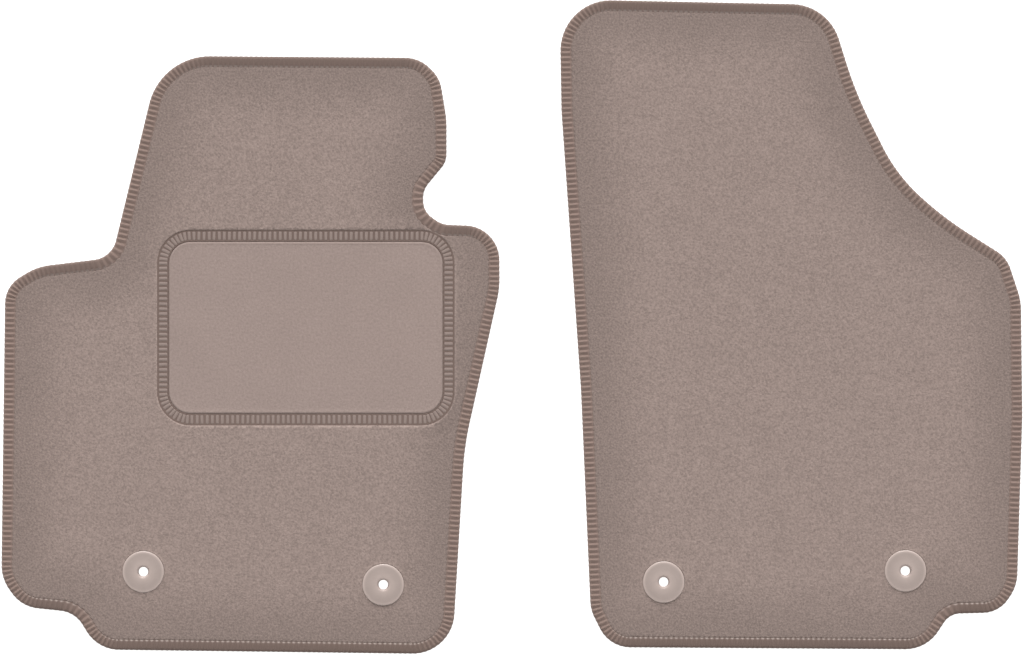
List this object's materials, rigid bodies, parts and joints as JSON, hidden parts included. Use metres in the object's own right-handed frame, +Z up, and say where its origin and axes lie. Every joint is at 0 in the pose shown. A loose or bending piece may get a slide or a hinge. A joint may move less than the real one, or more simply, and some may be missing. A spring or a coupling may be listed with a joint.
{
  "type": "floor mat set",
  "caption": "Fitted front car floor mats: velour carpet with overlocked edges, a bound heel pad on the driver's mat, and round push-through stud clips.",
  "frame": {"origin": "on the floor, in the middle of the box round both mats", "axes": "+X from the driver's mat to the passenger's, +Y towards the pedals, +Z up out of the pile"},
  "size_m": [1.1018, 0.7049, 0.0091],
  "materials": {
    "carpet_pile": "matte cut-pile velour carpet",
    "heel_velour": "matte, short dense velour",
    "binding_yarn": "overlocked yarn with a slight sheen",
    "needle_thread": "twisted sewing thread",
    "base_cloth": "woven tufting cloth",
    "nonslip_backing": "matte, finely nubbed rubber",
    "clip_plastic": "satin moulded plastic",
    "ring_plastic": "satin moulded plastic"
  },
  "bodies": {
    "driver_mat": {"driver_nonslip_backing": "nonslip_backing", "driver_base_cloth": "base_cloth", "driver_carpet_pile": "carpet_pile", "driver_edge_binding": "binding_yarn", "driver_edge_thread": "needle_thread", "heel_pad": "heel_velour", "heel_pad_binding": "binding_yarn", "heel_pad_thread": "needle_thread"},
    "passenger_mat": {"passenger_nonslip_backing": "nonslip_backing", "passenger_base_cloth": "base_cloth", "passenger_carpet_pile": "carpet_pile", "passenger_edge_binding": "binding_yarn", "passenger_edge_thread": "needle_thread"},
    "driver_left_clip": {"driver_left_clip_cap": "clip_plastic", "driver_left_clip_ring": "ring_plastic"},
    "driver_right_clip": {"driver_right_clip_cap": "clip_plastic", "driver_right_clip_ring": "ring_plastic"},
    "passenger_left_clip": {"passenger_left_clip_cap": "clip_plastic", "passenger_left_clip_ring": "ring_plastic"},
    "passenger_right_clip": {"passenger_right_clip_cap": "clip_plastic", "passenger_right_clip_ring": "ring_plastic"}
  },
  "joints": [
    {"name": "passenger_mat_lift", "type": "slide", "parent": "driver_mat", "child": "passenger_mat", "axis": [0, 0, 1], "range_m": [0, 0.25]},
    {"name": "driver_left_clip_turn", "type": "hinge", "parent": "driver_mat", "child": "driver_left_clip", "pos_m": [-0.3984, -0.2641, 0], "axis": [0, 0, 1], "continuous": true},
    {"name": "driver_right_clip_turn", "type": "hinge", "parent": "driver_mat", "child": "driver_right_clip", "pos_m": [-0.1394, -0.2781, 0], "axis": [0, 0, 1], "continuous": true},
    {"name": "passenger_left_clip_turn", "type": "hinge", "parent": "passenger_mat", "child": "passenger_left_clip", "pos_m": [0.1633, -0.2752, 0], "axis": [0, 0, 1], "continuous": true},
    {"name": "passenger_right_clip_turn", "type": "hinge", "parent": "passenger_mat", "child": "passenger_right_clip", "pos_m": [0.4243, -0.2632, 0], "axis": [0, 0, 1], "continuous": true}
  ]
}
